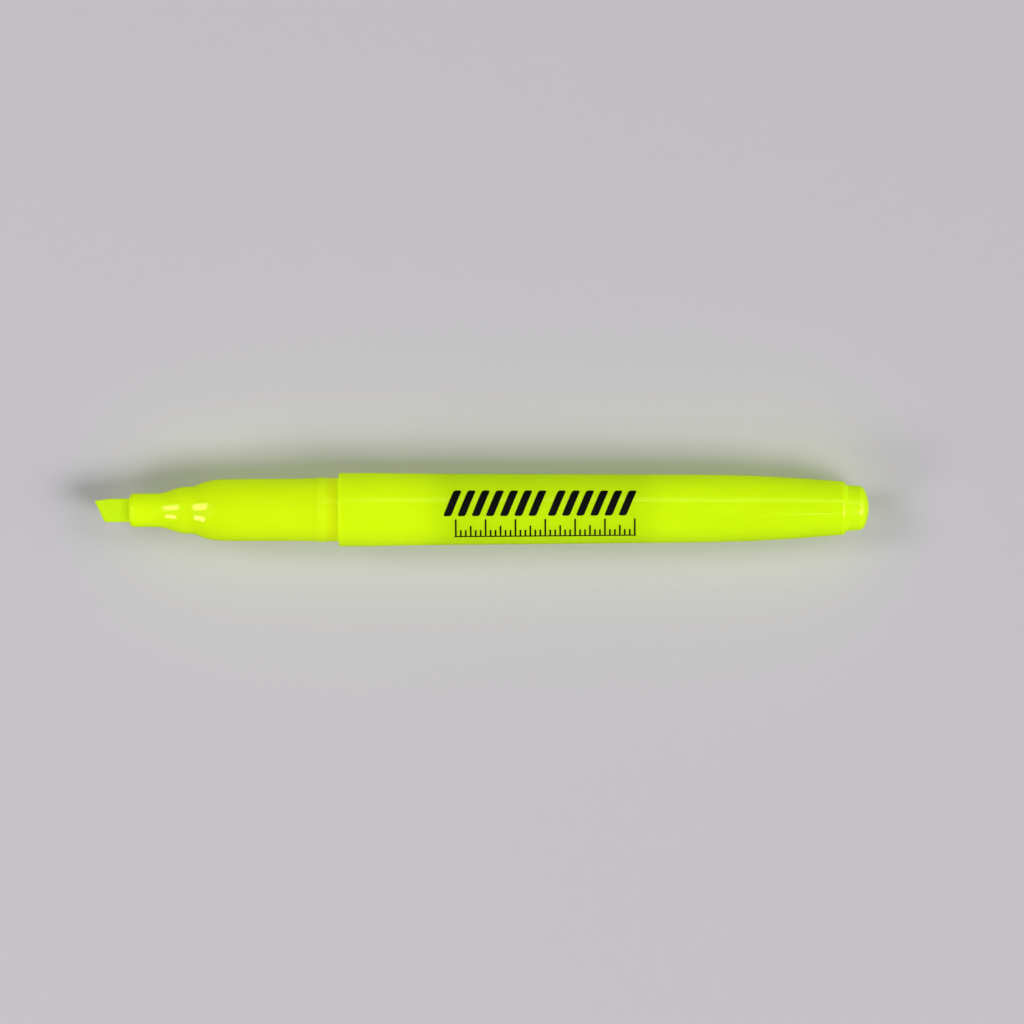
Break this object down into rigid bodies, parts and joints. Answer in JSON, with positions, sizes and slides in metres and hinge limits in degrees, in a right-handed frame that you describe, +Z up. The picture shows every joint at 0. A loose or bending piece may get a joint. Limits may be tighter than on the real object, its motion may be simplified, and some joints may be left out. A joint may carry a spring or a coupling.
{
  "type": "highlighter",
  "caption": "Slim pocket highlighter with a slanted chisel nib, stepped front section, tapered barrel, end plug and pull-off cap with a pocket clip.",
  "frame": {"origin": "on the table under the middle of the whole object, with the cap off and lying in line ahead of the nib", "axes": "+Z up; +X along the pen from the nib to the end plug; +Y sideways, away from the pocket clip"},
  "size_m": [0.2124, 0.0148, 0.012],
  "materials": {
    "body_plastic": "glossy injection moulded polypropylene, fluorescent yellow, slightly translucent",
    "front_plastic": "glossy injection moulded polypropylene, fluorescent yellow",
    "nib_fibre": "bonded fibre wet with fluorescent yellow ink",
    "reservoir_fibre": "lengthwise fibre bundle soaked with fluorescent yellow ink",
    "reservoir_film": "clear thin film",
    "plug_plastic": "glossy injection moulded polypropylene, fluorescent yellow",
    "cap_plastic": "glossy injection moulded polypropylene, fluorescent yellow",
    "seal_plastic": "satin natural polyethylene"
  },
  "bodies": {
    "pen": {"barrel": "body_plastic", "front_section": "front_plastic", "chisel_nib": "nib_fibre", "reservoir_core": "reservoir_fibre", "reservoir_wrap": "reservoir_film", "end_plug": "plug_plastic"},
    "cap": {"cap_shell": "cap_plastic", "inner_cap": "seal_plastic"}
  },
  "joints": [
    {"name": "cap_slide", "type": "slide", "parent": "pen", "child": "cap", "axis": [1, 0, 0], "range_m": [0, 0.076]}
  ]
}
